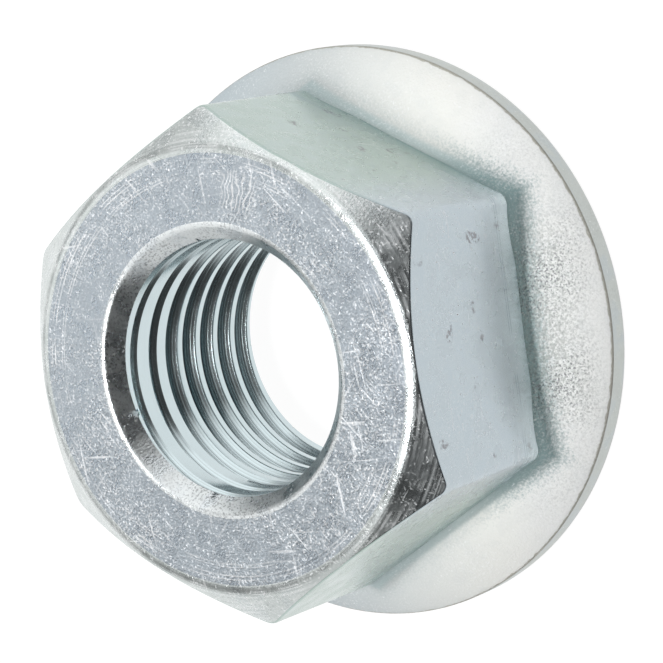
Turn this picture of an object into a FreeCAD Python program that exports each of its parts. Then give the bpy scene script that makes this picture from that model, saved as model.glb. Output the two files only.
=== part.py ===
"""A hexagon nut and its flange in one piece, as a parametric document.

The origin is the centre of the bearing face. +Z runs along the thread axis
to the free face, and two flats of the hexagon face along the X axis.
"""
import FreeCAD, Part
import math
import os

import Sketcher

# Driving dimensions, in millimetres and degrees

SIZES = [
    ("across_flats", 22.0),
    ("nut_height", 13.5),
    ("corner_radius", 0.7),
    ("chamfer_diameter", 21.46),
    ("chamfer_angle", 38.0),
    ("rim_radius", 0.8),
    ("flange_overhang", 1.8983),
    ("flange_edge", 1.6),
    ("shoulder_height", 3.1),
    ("crown_radius", 6.5),
    ("junction_radius", 0.65),
    ("edge_break", 0.25),
    ("thread_diameter", 14.0),
    ("thread_pitch", 1.5),
    ("free_sink_diameter", 13.9),
    ("free_sink_angle", 80.0),
    ("bearing_sink_diameter", 16.8),
    ("bearing_sink_angle", 90.0),
    ("cut_clearance", 1.0),
]

# Sizes worked out from the sheet, written once and used by several sketches

SHOULDER_REACH = "Sizes.across_flats / 2 - Sizes.cut_clearance"
CORNER_REACH = "Sizes.across_flats / 2 / cos(30)"
CUT_REACH = CORNER_REACH + " + Sizes.cut_clearance"
CUT_TOP = "Sizes.nut_height + Sizes.cut_clearance"
CHAMFER_REACH = "Sizes.chamfer_diameter / 2"
RIM_START = CHAMFER_REACH + " - Sizes.rim_radius * tan(Sizes.chamfer_angle / 2)"
CHAMFER_FOOT = ("Sizes.nut_height - (" + CUT_REACH + " - " + CHAMFER_REACH
                + ") * tan(Sizes.chamfer_angle)")
FLANGE_REACH = CORNER_REACH + " + Sizes.flange_overhang"
BORE_REACH = "(Sizes.thread_diameter - 1.0825 * Sizes.thread_pitch) / 2"
FREE_SINK_REACH = "Sizes.free_sink_diameter / 2"
FREE_SINK_RISE = "tan(Sizes.free_sink_angle / 2)"
FREE_SINK_DEPTH = "(" + FREE_SINK_REACH + " - " + BORE_REACH + ") / " + FREE_SINK_RISE
FREE_CUT_REACH = FREE_SINK_REACH + " + Sizes.cut_clearance * " + FREE_SINK_RISE
BEARING_SINK_REACH = "Sizes.bearing_sink_diameter / 2"
BEARING_SINK_RISE = "tan(Sizes.bearing_sink_angle / 2)"
BEARING_SINK_DEPTH = "(" + BEARING_SINK_REACH + " - " + BORE_REACH + ") / " + BEARING_SINK_RISE
BEARING_CUT_REACH = BEARING_SINK_REACH + " + Sizes.cut_clearance * " + BEARING_SINK_RISE


def make_sheet(doc):
    """Write every driving dimension into the sheet under its own name."""
    sheet = doc.addObject("Spreadsheet::Sheet", "Sizes")
    for row, (name, value) in enumerate(SIZES, start=1):
        sheet.set("A%d" % row, name)
        sheet.set("B%d" % row, str(value))
        sheet.setAlias("B%d" % row, name)
    doc.recompute()
    return sheet


def origin_plane(body, role):
    """Return the body's own origin plane with this role."""
    return next(f for f in body.Origin.OriginFeatures if f.Role == role)


def new_sketch(body, name, role):
    """Start a sketch on one of the body's origin planes."""
    sketch = body.newObject("Sketcher::SketchObject", name)
    sketch.AttachmentSupport = [(origin_plane(body, role), "")]
    sketch.MapMode = "FlatFace"
    return sketch


def bind(sketch, kind, where, name, value, expression):
    """Add a named dimension to the sketch and bind it to the sheet."""
    index = sketch.addConstraint(Sketcher.Constraint(kind, *where, value))
    sketch.renameConstraint(index, name)
    sketch.setExpression("Constraints." + name, expression)


def place_point(sketch, geo, pos, name, at, across, along):
    """Fix one point of the sketch, measured from the origin."""
    if across is None:
        sketch.addConstraint(Sketcher.Constraint("PointOnObject", geo, pos, -2))
    else:
        bind(sketch, "DistanceX", (-1, 1, geo, pos), name + "_across", at[0], across)
    if along is None:
        sketch.addConstraint(Sketcher.Constraint("PointOnObject", geo, pos, -1))
    else:
        bind(sketch, "DistanceY", (-1, 1, geo, pos), name + "_along", at[1], along)


def line(sketch, start, end):
    """Add a straight edge and return its number."""
    first = FreeCAD.Vector(start[0], start[1], 0)
    last = FreeCAD.Vector(end[0], end[1], 0)
    return sketch.addGeometry(Part.LineSegment(first, last), False)


def join(sketch, geo, pos, other, other_pos):
    """Make two ends meet."""
    sketch.addConstraint(Sketcher.Constraint("Coincident", geo, pos, other, other_pos))


def arc_through(sketch, start, middle, end):
    """Add an arc by three points and return its number."""
    points = [FreeCAD.Vector(p[0], p[1], 0) for p in (start, middle, end)]
    return sketch.addGeometry(Part.Arc(*points), False)


def check_volume(feature, before, grows):
    """Stop if a feature added or removed nothing."""
    change = feature.Shape.Volume - before
    if (change > 1.0) != grows or abs(change) < 1e-3:
        raise RuntimeError("%s changed the volume by %.4f" % (feature.Name, change))


def add_flange(doc, body):
    """Turn the flange: flat bearing face, plain edge and crowned upper side."""
    sketch = new_sketch(body, "FlangeSection", "XZ_Plane")
    bottom = line(sketch, (0, 0), (14.35, 0))
    lower_break = line(sketch, (14.35, 0), (14.6, 0.25))
    edge = line(sketch, (14.6, 0.25), (14.6, 1.35))
    upper_break = line(sketch, (14.6, 1.35), (14.35, 1.6))
    crown = arc_through(sketch, (14.35, 1.6), (12.5, 2.75), (10, 3.1))
    top = line(sketch, (10, 3.1), (0, 3.1))
    axis = line(sketch, (0, 3.1), (0, 0))
    starts_at_rim = sketch.Geometry[crown].StartPoint.x > 13.0
    rim_end, top_end = (1, 2) if starts_at_rim else (2, 1)
    join(sketch, bottom, 2, lower_break, 1)
    join(sketch, lower_break, 2, edge, 1)
    join(sketch, edge, 2, upper_break, 1)
    join(sketch, upper_break, 2, crown, rim_end)
    join(sketch, crown, top_end, top, 1)
    join(sketch, top, 2, axis, 1)
    join(sketch, axis, 2, bottom, 1)
    inner = FLANGE_REACH + " - Sizes.edge_break"
    upper = "Sizes.flange_edge - Sizes.edge_break"
    place_point(sketch, bottom, 1, "centre", (0, 0), None, None)
    place_point(sketch, bottom, 2, "bearing_edge", (14.35, 0), inner, None)
    place_point(sketch, edge, 1, "edge_low", (14.6, 0.25), FLANGE_REACH, "Sizes.edge_break")
    place_point(sketch, edge, 2, "edge_high", (14.6, 1.35), FLANGE_REACH, upper)
    place_point(sketch, crown, rim_end, "crown_rim", (14.35, 1.6), inner, "Sizes.flange_edge")
    place_point(sketch, top, 1, "shoulder", (10, 3.1), SHOULDER_REACH, "Sizes.shoulder_height")
    place_point(sketch, top, 2, "shoulder_axis", (0, 3.1), None, "Sizes.shoulder_height")
    bind(sketch, "Radius", (crown,), "crown", 6.5, "Sizes.crown_radius")
    flange = body.newObject("PartDesign::Revolution", "Flange")
    flange.Profile = sketch
    flange.ReferenceAxis = (sketch, ["V_Axis"])
    flange.Angle = 360.0
    doc.recompute()
    check_volume(flange, 0.0, True)
    return flange


def add_hexagon(doc, body):
    """Pad the hexagon with rounded corners up to the free face."""
    sketch = new_sketch(body, "HexagonSection", "XY_Plane")
    reach = 22.0 / 2 / 0.8660254
    spots = [(0.8660254, -0.5), (0.8660254, 0.5), (0.0, 1.0),
             (-0.8660254, 0.5), (-0.8660254, -0.5), (0.0, -1.0)]
    spots = [FreeCAD.Vector(reach * u, reach * w, 0) for u, w in spots]
    circle = Part.Circle(FreeCAD.Vector(0, 0, 0), FreeCAD.Vector(0, 0, 1), reach)
    guide = sketch.addGeometry(circle, True)
    join(sketch, guide, 3, -1, 1)
    frame = []
    for i in range(6):
        side = Part.LineSegment(spots[i], spots[(i + 1) % 6])
        frame.append(sketch.addGeometry(side, True))
    for i, side in enumerate(frame):
        join(sketch, side, 2, frame[(i + 1) % 6], 1)
        sketch.addConstraint(Sketcher.Constraint("PointOnObject", side, 1, guide))
    for side in frame[1:]:
        sketch.addConstraint(Sketcher.Constraint("Equal", frame[0], side))
    sketch.addConstraint(Sketcher.Constraint("Vertical", frame[0]))
    bind(sketch, "Radius", (guide,), "corner_reach", reach, CORNER_REACH)
    sides = []
    rounds = []
    for i in range(6):
        run = (spots[(i + 1) % 6] - spots[i]).normalize()
        turn = (spots[(i + 2) % 6] - spots[(i + 1) % 6]).normalize()
        setback = 0.7 * 0.5773503
        begin = spots[i] + run * setback
        end = spots[(i + 1) % 6] - run * setback
        after = spots[(i + 1) % 6] + turn * setback
        tip = spots[(i + 1) % 6] * ((reach - 0.7 * 0.1547005) / reach)
        sides.append(line(sketch, begin, end))
        rounds.append(arc_through(sketch, end, tip, after))
    for i in range(6):
        sketch.addConstraint(Sketcher.Constraint("PointOnObject", sides[i], 1, frame[i]))
        sketch.addConstraint(Sketcher.Constraint("PointOnObject", sides[i], 2, frame[i]))
        sketch.addConstraint(Sketcher.Constraint("Tangent", sides[i], 2, rounds[i], 1))
        sketch.addConstraint(Sketcher.Constraint("Tangent", rounds[i], 2, sides[(i + 1) % 6], 1))
    for other in rounds[1:]:
        sketch.addConstraint(Sketcher.Constraint("Equal", rounds[0], other))
    bind(sketch, "Radius", (rounds[0],), "corner_round", 0.7, "Sizes.corner_radius")
    before = body.Tip.Shape.Volume
    hexagon = body.newObject("PartDesign::Pad", "Hexagon")
    hexagon.Profile = sketch
    hexagon.setExpression("Length", "Sizes.nut_height")
    doc.recompute()
    check_volume(hexagon, before, True)
    return hexagon


def junction_edges(sheet, shape):
    """Name the edges where the hexagon's sides meet the flange's upper side."""
    nearest = sheet.across_flats / 2 - 0.01
    farthest = sheet.across_flats / 2 / math.cos(math.radians(30.0)) + 0.01
    lowest = sheet.flange_edge / 2
    highest = (sheet.shoulder_height + sheet.nut_height) / 2
    names = []
    for number, edge in enumerate(shape.Edges, start=1):
        box = edge.BoundBox
        middle = edge.valueAt((edge.FirstParameter + edge.LastParameter) / 2)
        reach = math.hypot(middle.x, middle.y)
        if nearest < reach < farthest and lowest < box.ZMin and box.ZMax < highest:
            names.append("Edge%d" % number)
    if not names:
        raise RuntimeError("no junction edges found")
    return names


def round_junction(doc, body, base):
    """Blend the hexagon into the crowned side of the flange."""
    before = body.Tip.Shape.Volume
    junction = body.newObject("PartDesign::Fillet", "Junction")
    junction.Base = (base, junction_edges(doc.getObject("Sizes"), base.Shape))
    junction.setExpression("Radius", "Sizes.junction_radius")
    doc.recompute()
    check_volume(junction, before, True)
    return junction


def cut_chamfer(doc, body):
    """Turn the chamfer at the free face, with its rounded rim."""
    sketch = new_sketch(body, "ChamferSection", "XZ_Plane")
    rim = arc_through(sketch, (10.95, 13.33), (10.72, 13.45), (10.455, 13.5))
    starts_at_cone = sketch.Geometry[rim].StartPoint.x > 10.8
    cone_end, face_end = (1, 2) if starts_at_cone else (2, 1)
    cone = line(sketch, (10.95, 13.33), (13.7, 11.18))
    outer = line(sketch, (13.7, 11.18), (13.7, 14.5))
    above = line(sketch, (13.7, 14.5), (10.455, 14.5))
    inner = line(sketch, (10.455, 14.5), (10.455, 13.5))
    sketch.addConstraint(Sketcher.Constraint("Tangent", cone, 1, rim, cone_end))
    join(sketch, cone, 2, outer, 1)
    join(sketch, outer, 2, above, 1)
    join(sketch, above, 2, inner, 1)
    join(sketch, inner, 2, rim, face_end)
    sketch.addConstraint(Sketcher.Constraint("Vertical", outer))
    sketch.addConstraint(Sketcher.Constraint("Horizontal", above))
    sketch.addConstraint(Sketcher.Constraint("Vertical", inner))
    sketch.addConstraint(Sketcher.Constraint("Vertical", rim, 3, rim, face_end))
    place_point(sketch, rim, face_end, "rim", (10.455, 13.5), RIM_START, "Sizes.nut_height")
    place_point(sketch, outer, 1, "cone_foot", (13.7, 11.18), CUT_REACH, CHAMFER_FOOT)
    bind(sketch, "DistanceY", (-1, 1, outer, 2), "cut_top", 14.5, CUT_TOP)
    bind(sketch, "Radius", (rim,), "rim_round", 0.8, "Sizes.rim_radius")
    before = body.Tip.Shape.Volume
    chamfer = body.newObject("PartDesign::Groove", "Chamfer")
    chamfer.Profile = sketch
    chamfer.ReferenceAxis = (sketch, ["V_Axis"])
    chamfer.Angle = 360.0
    doc.recompute()
    check_volume(chamfer, before, False)
    return chamfer


def cut_bore(doc, body):
    """Cut the bore at the thread's minor diameter, with a sink at each end."""
    sketch = new_sketch(body, "BoreSection", "XZ_Plane")
    corners = [
        ("low_axis", (0.0, -1.0), None, "-Sizes.cut_clearance"),
        ("low_sink", (9.4, -1.0), BEARING_CUT_REACH, "-Sizes.cut_clearance"),
        ("low_bore", (6.188, 2.2), BORE_REACH, BEARING_SINK_DEPTH),
        ("high_bore", (6.188, 12.7), BORE_REACH, "Sizes.nut_height - " + FREE_SINK_DEPTH),
        ("high_sink", (8.0, 14.5), FREE_CUT_REACH, CUT_TOP),
        ("high_axis", (0.0, 14.5), None, CUT_TOP),
    ]
    count = len(corners)
    sides = [line(sketch, corners[i][1], corners[(i + 1) % count][1]) for i in range(count)]
    for i, side in enumerate(sides):
        join(sketch, side, 2, sides[(i + 1) % count], 1)
    for side, (name, at, across, along) in zip(sides, corners):
        place_point(sketch, side, 1, name, at, across, along)
    before = body.Tip.Shape.Volume
    bore = body.newObject("PartDesign::Groove", "Bore")
    bore.Profile = sketch
    bore.ReferenceAxis = (sketch, ["V_Axis"])
    bore.Angle = 360.0
    doc.recompute()
    check_volume(bore, before, False)
    return bore


def make_nut(doc):
    """Build the whole nut as one body."""
    body = doc.addObject("PartDesign::Body", "FlangeNut")
    body.Label = "flange_nut"
    body.Placement = FreeCAD.Placement()
    add_flange(doc, body)
    hexagon = add_hexagon(doc, body)
    round_junction(doc, body, hexagon)
    cut_chamfer(doc, body)
    cut_bore(doc, body)
    return body


def check_document(doc):
    """Stop on any object that failed or holds no valid shape."""
    for thing in doc.Objects:
        if "Invalid" in thing.State or "Error" in thing.State:
            raise RuntimeError("%s is in state %s" % (thing.Name, thing.State))
        if thing.TypeId.startswith("PartDesign::"):
            if thing.Shape.isNull() or not thing.Shape.isValid():
                raise RuntimeError("%s has no valid shape" % thing.Name)


def main():
    """Build the document and write one file for each sub-part."""
    doc = FreeCAD.newDocument("FlangeNut")
    make_sheet(doc)
    parts = [make_nut(doc)]
    doc.recompute()
    check_document(doc)
    os.makedirs("parts", exist_ok=True)
    for part in parts:
        part.Shape.exportStep("parts/%s.step" % part.Label)
        box = part.Shape.optimalBoundingBox(True, False)
        print(part.Label, "%.3f x %.3f x %.3f mm" % (box.XLength, box.YLength, box.ZLength),
              "volume %.1f" % part.Shape.Volume, "solids %d" % len(part.Shape.Solids))


main()
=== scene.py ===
"""A zinc-plated hexagon nut with a forged flange, standing on a pale studio floor.

The nut is one piece. Its outer skin is a section turned round the axis and shaped to the
rounded hexagon, its bore is one turn of thread repeated up its helix, and the two are
merged into one closed mesh.
"""

import enum
import logging
import math
from dataclasses import dataclass, field

import bmesh
import bpy
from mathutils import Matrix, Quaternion, Vector


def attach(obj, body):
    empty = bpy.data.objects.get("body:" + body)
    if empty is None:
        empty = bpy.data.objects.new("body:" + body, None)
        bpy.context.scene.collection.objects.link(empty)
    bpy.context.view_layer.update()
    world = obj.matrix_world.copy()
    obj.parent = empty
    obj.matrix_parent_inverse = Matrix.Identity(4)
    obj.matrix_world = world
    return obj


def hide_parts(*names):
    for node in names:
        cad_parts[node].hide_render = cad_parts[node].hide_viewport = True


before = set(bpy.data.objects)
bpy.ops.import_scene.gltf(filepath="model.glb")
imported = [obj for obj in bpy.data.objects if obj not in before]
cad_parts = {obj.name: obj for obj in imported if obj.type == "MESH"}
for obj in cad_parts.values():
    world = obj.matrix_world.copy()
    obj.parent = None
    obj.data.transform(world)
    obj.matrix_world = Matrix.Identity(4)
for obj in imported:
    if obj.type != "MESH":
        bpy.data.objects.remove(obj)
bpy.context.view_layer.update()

LOG = logging.getLogger("flange_nut")
MM = 0.001
TURN = 2.0 * math.pi
TINY = 1e-9

Point = tuple[float, float]
Triple = tuple[float, float, float]
Colour = tuple[float, float, float]
Fade = tuple[float, ...]


class Zone(enum.IntEnum):
    """The parts of the nut's surface that have a finish of their own."""

    FACE = 0
    CHAMFER = 1
    FLAT = 2
    FLANGE = 3
    EDGE = 4
    SINK = 5
    THREAD = 6


def smooth_step(low: float, high: float, value: float) -> float:
    """Rise smoothly from 0 to 1 between two limits.

    Args:
        low: Value at which the result leaves 0.
        high: Value at which the result reaches 1.
        value: Value to place between them.

    Returns:
        The eased share, from 0 to 1.
    """
    share = min(1.0, max(0.0, (value - low) / (high - low)))
    return share * share * (3.0 - 2.0 * share)


def steps_between(start: Point, end: Point, count: int) -> list[Point]:
    """Divide a straight run into equal steps.

    Args:
        start: First point, which is left out of the result.
        end: Last point, which is kept.
        count: Number of steps.

    Returns:
        The points after each step.
    """
    return [
        (start[0] + (end[0] - start[0]) * i / count, start[1] + (end[1] - start[1]) * i / count)
        for i in range(1, count + 1)
    ]


def arc_between(centre: Point, radius: float, start: float, end: float, count: int) -> list[Point]:
    """Walk along an arc.

    Args:
        centre: Middle of the circle.
        radius: Radius of the circle.
        start: Angle of the first point, which is left out, in radians.
        end: Angle of the last point, in radians.
        count: Number of steps.

    Returns:
        The points after each step.
    """
    points = []
    for i in range(1, count + 1):
        angle = start + (end - start) * i / count
        points.append((centre[0] + radius * math.cos(angle), centre[1] + radius * math.sin(angle)))
    return points


def bend_between(start: Point, corner: Point, end: Point, count: int) -> list[Point]:
    """Round a corner from one point to another with a quadratic curve.

    Args:
        start: First point, which is left out of the result.
        corner: The corner that the curve leans towards.
        end: Last point.
        count: Number of steps.

    Returns:
        The points after each step.
    """
    points = []
    for i in range(1, count + 1):
        t = i / count
        u = 1.0 - t
        points.append(tuple(
            u * u * a + 2.0 * u * t * b + t * t * c for a, b, c in zip(start, corner, end)
        ))
    return points


@dataclass(frozen=True)
class Hexagon:
    """The hexagon with its rounded corners, and two flats across the X axis, in millimetres."""

    across_flats: float = 22.0
    corner_radius: float = 0.7
    flat_steps: int = 20
    corner_steps: int = 8

    @property
    def apothem(self) -> float:
        """Distance from the axis to each flat."""
        return self.across_flats / 2.0

    @property
    def corner_centre(self) -> float:
        """Distance from the axis to the centre of each corner's round."""
        return (self.apothem - self.corner_radius) / math.cos(math.radians(30.0))

    @property
    def flat_half(self) -> float:
        """Half the length of a flat, up to where its corner starts to turn."""
        return (self.apothem - self.corner_radius) * math.tan(math.radians(30.0))

    @property
    def flat_angle(self) -> float:
        """Angle from a flat's middle to where its corner starts to turn, in radians."""
        return math.atan2(self.flat_half, self.apothem)

    def columns(self) -> list[float]:
        """Choose the angles of the sections, closer together at the corners.

        Returns:
            Rising angles once round, in radians, from the middle of the flat on +X.
        """
        sector = TURN / 6.0
        stops = [(0.0, self.flat_angle, self.flat_steps),
                 (self.flat_angle, sector - self.flat_angle, self.corner_steps),
                 (sector - self.flat_angle, sector, self.flat_steps)]
        angles = []
        for side in range(6):
            for low, high, count in stops:
                angles += [side * sector + low + (high - low) * i / count for i in range(count)]
        return angles

    def wall(self, angle: float) -> tuple[float, float, float]:
        """Find the hexagon's wall in one direction.

        Args:
            angle: Direction round the axis, in radians.

        Returns:
            The wall's distance from the axis, the angle between the wall's normal and that
            direction in radians, and how far along the flat the place lies from its middle.
        """
        sector = TURN / 6.0
        off_flat = abs((angle + sector / 2.0) % sector - sector / 2.0)
        if off_flat <= self.flat_angle + TINY:
            return self.apothem / math.cos(off_flat), off_flat, self.apothem * math.tan(off_flat)
        off_corner = sector / 2.0 - off_flat
        centre, radius = self.corner_centre, self.corner_radius
        reach = centre * math.cos(off_corner) + math.sqrt(
            radius ** 2 - (centre * math.sin(off_corner)) ** 2)
        normal = math.atan2(reach * math.sin(off_corner), reach * math.cos(off_corner) - centre)
        return reach, abs(normal - off_corner), self.flat_half


@dataclass(frozen=True)
class Flange:
    """The forged flange: its edge, its crowned upper side and its blend, in millimetres."""

    radius: float = 14.6
    edge: float = 1.6
    edge_break: float = 0.25
    crown_break: float = 0.12
    shoulder_reach: float = 10.0
    shoulder_height: float = 3.1
    crown_radius: float = 6.5
    blend_at_flats: float = 0.62
    blend_at_corners: float = 1.55
    blend_start: float = 2.4
    blend_end: float = 5.95
    crown_steps: int = 11
    edge_steps: int = 4
    halvings: int = 40

    def crown_centre(self) -> Point:
        """Find the centre of the crown's arc.

        Returns:
            Its distance from the axis and its height.
        """
        rim = (self.radius - self.edge_break, self.edge)
        top = (self.shoulder_reach, self.shoulder_height)
        run = (rim[0] - top[0], rim[1] - top[1])
        chord = math.hypot(*run)
        lift = math.sqrt(self.crown_radius ** 2 - (chord / 2.0) ** 2)
        return ((rim[0] + top[0]) / 2.0 + run[1] / chord * lift,
                (rim[1] + top[1]) / 2.0 - run[0] / chord * lift)

    def crown_height(self, reach: float) -> float:
        """Height of the crown at a distance from the axis."""
        centre = self.crown_centre()
        return centre[1] + math.sqrt(self.crown_radius ** 2 - (reach - centre[0]) ** 2)

    def crown_slope(self, reach: float) -> float:
        """Slope of the crown at a distance from the axis, downwards as a negative number."""
        centre = self.crown_centre()
        return -(reach - centre[0]) / math.sqrt(self.crown_radius ** 2 - (reach - centre[0]) ** 2)

    def blend(self, wall: float, lean: float, along: float, count: int) -> list[Point]:
        """Blend the hexagon's wall into the crown, more generously towards the corners.

        Args:
            wall: Distance of the wall from the axis.
            lean: Angle between the wall's normal and the section, in radians.
            along: Distance along the flat from its middle.
            count: Number of steps.

        Returns:
            The blend's points from the wall to the crown, both ends kept.
        """
        share = smooth_step(self.blend_start, self.blend_end, along)
        radius = self.blend_at_flats + (self.blend_at_corners - self.blend_at_flats) * share
        stretch = 1.0 / math.cos(lean)
        low, high = 0.0, radius
        for _ in range(self.halvings):
            middle = (low + high) / 2.0
            slope = self.crown_slope(wall + middle * stretch) * stretch
            foot = radius * (1.0 + slope / math.hypot(1.0, slope))
            if middle < foot:
                low = middle
            else:
                high = middle
        slope = self.crown_slope(wall + low * stretch) * stretch
        centre = self.crown_height(wall + low * stretch) + radius / math.hypot(1.0, slope)
        end = 1.5 * math.pi + math.atan(slope)
        points = [(0.0, centre)]
        points += arc_between((radius, centre), radius, math.pi, end, count)
        return [(wall + across * stretch, height) for across, height in points]


@dataclass(frozen=True)
class Sink:
    """A countersink at one end of the bore, in millimetres and degrees."""

    diameter: float
    angle: float
    lip: float = 0.35
    lip_steps: int = 4

    @property
    def half_angle(self) -> float:
        """Angle between the sink's wall and the axis, in radians."""
        return math.radians(self.angle / 2.0)

    @property
    def lip_reach(self) -> float:
        """How far the rounded lip reaches along the wall and along the face."""
        return self.lip * math.tan((math.pi / 2.0 - self.half_angle) / 2.0)

    @property
    def lip_depth(self) -> float:
        """Depth below the face at which the rounded lip starts."""
        return self.lip_reach * math.cos(self.half_angle)

    def reach(self, depth: float) -> float:
        """Distance of the sink's wall from the axis, at a depth below the face."""
        return self.diameter / 2.0 - depth * math.tan(self.half_angle)

    def foot(self, radius: float) -> float:
        """Depth below the face at which the sink's wall has come in to a radius."""
        return (self.diameter / 2.0 - radius) / math.tan(self.half_angle)

    def lip_points(self) -> list[Point]:
        """Round the lip between the sink's wall and the face.

        Returns:
            Points as distance from the axis and depth, from the wall to the face.
        """
        corner = (self.diameter / 2.0, 0.0)
        start = (self.reach(self.lip_depth), self.lip_depth)
        end = (corner[0] + self.lip_reach, 0.0)
        return [start] + bend_between(start, corner, end, self.lip_steps)


@dataclass(frozen=True)
class Thread:
    """The right-hand thread in the bore, in millimetres and degrees.

    The crests are broader near the free face. A flank's place is a distance along the axis from
    the crest's edge, and a root's place is such a distance and how far the root stays short of
    the full depth.
    """

    pitch: float = 1.5
    minor_radius: float = 6.188
    depth: float = 0.72
    crest: float = 0.42
    crest_break: float = 0.03
    flank_angle: float = 60.0
    flank_places: tuple[float, ...] = (0.015, 0.13, 0.25)
    root_places: tuple[Point, ...] = ((0.35, 0.12), (0.42, 0.04), (0.48, 0.01))
    phase: float = 0.2
    runout: float = 2.5
    mouth: float = 0.06
    widening: float = 0.24
    mouth_start: float = 2.2
    mouth_end: float = 5.6

    def turn(self) -> list[Point]:
        """Draw one turn's profile, with crisp crests and a rounded root.

        Returns:
            Points as height from the crest's middle and distance from the axis, over one pitch.
        """
        rise = math.tan(math.radians(self.flank_angle))
        crest = self.crest / 2.0
        half = [(0.0, 0.0), (crest - self.crest_break, 0.0)]
        half += [(crest + along, along * rise) for along in self.flank_places]
        half += [(crest + along, self.depth - short) for along, short in self.root_places]
        profile = [(height, self.minor_radius + out) for height, out in half]
        profile.append((self.pitch / 2.0, self.minor_radius + self.depth))
        profile += [(self.pitch - height, reach) for height, reach in reversed(profile[:-1])]
        return profile

    def mouth_share(self, depth: float) -> float:
        """Share of the bore's opening out, from 1 at the free face to 0 further in."""
        return 1.0 - smooth_step(self.mouth_start, self.mouth_end, depth)

    def crest_radius(self, depth: float) -> float:
        """Distance of the crests from the axis, at a depth below the free face."""
        return self.minor_radius + self.mouth * self.mouth_share(depth)

    def widen(self, offset: float, depth: float) -> float:
        """Move a place on the profile outwards to where the broader crests have it.

        Args:
            offset: Height above the crest's middle, within one pitch.
            depth: Depth below the free face.

        Returns:
            The height above the crest's middle on the broader thread.
        """
        half = self.pitch / 2.0
        extra = self.widening * self.mouth_share(depth)
        near = min(offset, self.pitch - offset)
        if near < TINY:
            return offset
        moved = min(half, near + extra)
        return moved if offset <= half else self.pitch - moved

    def narrow(self, offset: float, depth: float) -> float:
        """Find the place on the profile that the broader crests have at an offset.

        Args:
            offset: Height above the crest's middle on the broader thread.
            depth: Depth below the free face.

        Returns:
            The height above the crest's middle on the profile.
        """
        half = self.pitch / 2.0
        extra = self.widening * self.mouth_share(depth)
        near = min(offset, self.pitch - offset)
        moved = max(0.0, near - extra)
        return moved if offset <= half else self.pitch - moved


@dataclass(frozen=True)
class NutSection:
    """The nut's outer section in any direction round the axis, in millimetres."""

    hexagon: Hexagon = field(default_factory=Hexagon)
    flange: Flange = field(default_factory=Flange)
    free_sink: Sink = field(default_factory=lambda: Sink(13.9, 80.0))
    bearing_sink: Sink = field(default_factory=lambda: Sink(16.8, 90.0))
    height: float = 13.5
    chamfer_radius: float = 10.73
    chamfer_angle: float = 38.0
    rim_radius: float = 0.8
    wall_break: float = 0.22
    border: float = 0.04
    face_steps: int = 5
    rim_steps: int = 7
    cone_steps: int = 5
    break_steps: int = 5
    flat_steps: int = 10
    blend_steps: int = 9
    bearing_steps: int = 5

    def points(self, angle: float) -> list[tuple[Point, Zone]]:
        """Walk down the outside of the nut in one direction.

        Args:
            angle: Direction round the axis, in radians.

        Returns:
            Points from the free sink's wall over the face, the rim, the chamfer, the flat and
            the flange to the bearing sink's wall, each with the zone that leads up to it.
        """
        slope = math.radians(self.chamfer_angle)
        wall, lean, along = self.hexagon.wall(angle)
        rim_start = self.chamfer_radius - self.rim_radius * math.tan(slope / 2.0)
        walk: list[tuple[Point, Zone]] = []

        def add(points: list[Point], zone: Zone) -> None:
            """Append points that belong to one zone."""
            walk.extend((point, zone) for point in points)

        lip = [(reach, self.height - depth) for reach, depth in self.free_sink.lip_points()]
        add(lip, Zone.SINK)
        add([(lip[-1][0] + self.border, self.height)], Zone.SINK)
        add(steps_between(walk[-1][0], (rim_start - self.border, self.height), self.face_steps),
            Zone.FACE)
        add([(rim_start, self.height)], Zone.CHAMFER)
        add(arc_between((rim_start, self.height - self.rim_radius), self.rim_radius,
                        math.pi / 2.0, math.pi / 2.0 - slope, self.rim_steps), Zone.CHAMFER)
        meet = self.height - (wall - self.chamfer_radius) * math.tan(slope)
        setback = self.wall_break * math.tan((math.pi / 2.0 - slope) / 2.0)
        cone_end = (wall - setback * math.cos(slope), meet + setback * math.sin(slope))
        add(steps_between(walk[-1][0], cone_end, self.cone_steps), Zone.CHAMFER)
        add(arc_between((wall - self.wall_break, meet - setback), self.wall_break,
                        math.pi / 2.0 - slope, 0.0, self.break_steps), Zone.FLAT)
        flange = self.flange
        blend = flange.blend(wall, lean, along, self.blend_steps)
        add(steps_between(walk[-1][0], blend[0], self.flat_steps), Zone.FLAT)
        add(blend[1:], Zone.FLANGE)
        foot = blend[-1][0]
        crown_end = flange.radius - flange.crown_break
        for i in range(1, flange.crown_steps + 1):
            reach = foot + (crown_end - foot) * i / flange.crown_steps
            add([(reach, flange.crown_height(reach))], Zone.FLANGE)
        corner = (flange.radius, flange.crown_height(flange.radius))
        add(bend_between(walk[-1][0], corner, (flange.radius, corner[1] - flange.crown_break),
                         self.break_steps), Zone.FLANGE)
        add(steps_between(walk[-1][0], (flange.radius, flange.edge_break), flange.edge_steps),
            Zone.EDGE)
        add(bend_between(walk[-1][0], (flange.radius, 0.0),
                         (flange.radius - flange.edge_break, 0.0), flange.edge_steps), Zone.EDGE)
        lip = self.bearing_sink.lip_points()[::-1]
        add(steps_between(walk[-1][0], lip[0], self.bearing_steps), Zone.FLANGE)
        add(lip[1:], Zone.SINK)
        return walk


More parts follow.
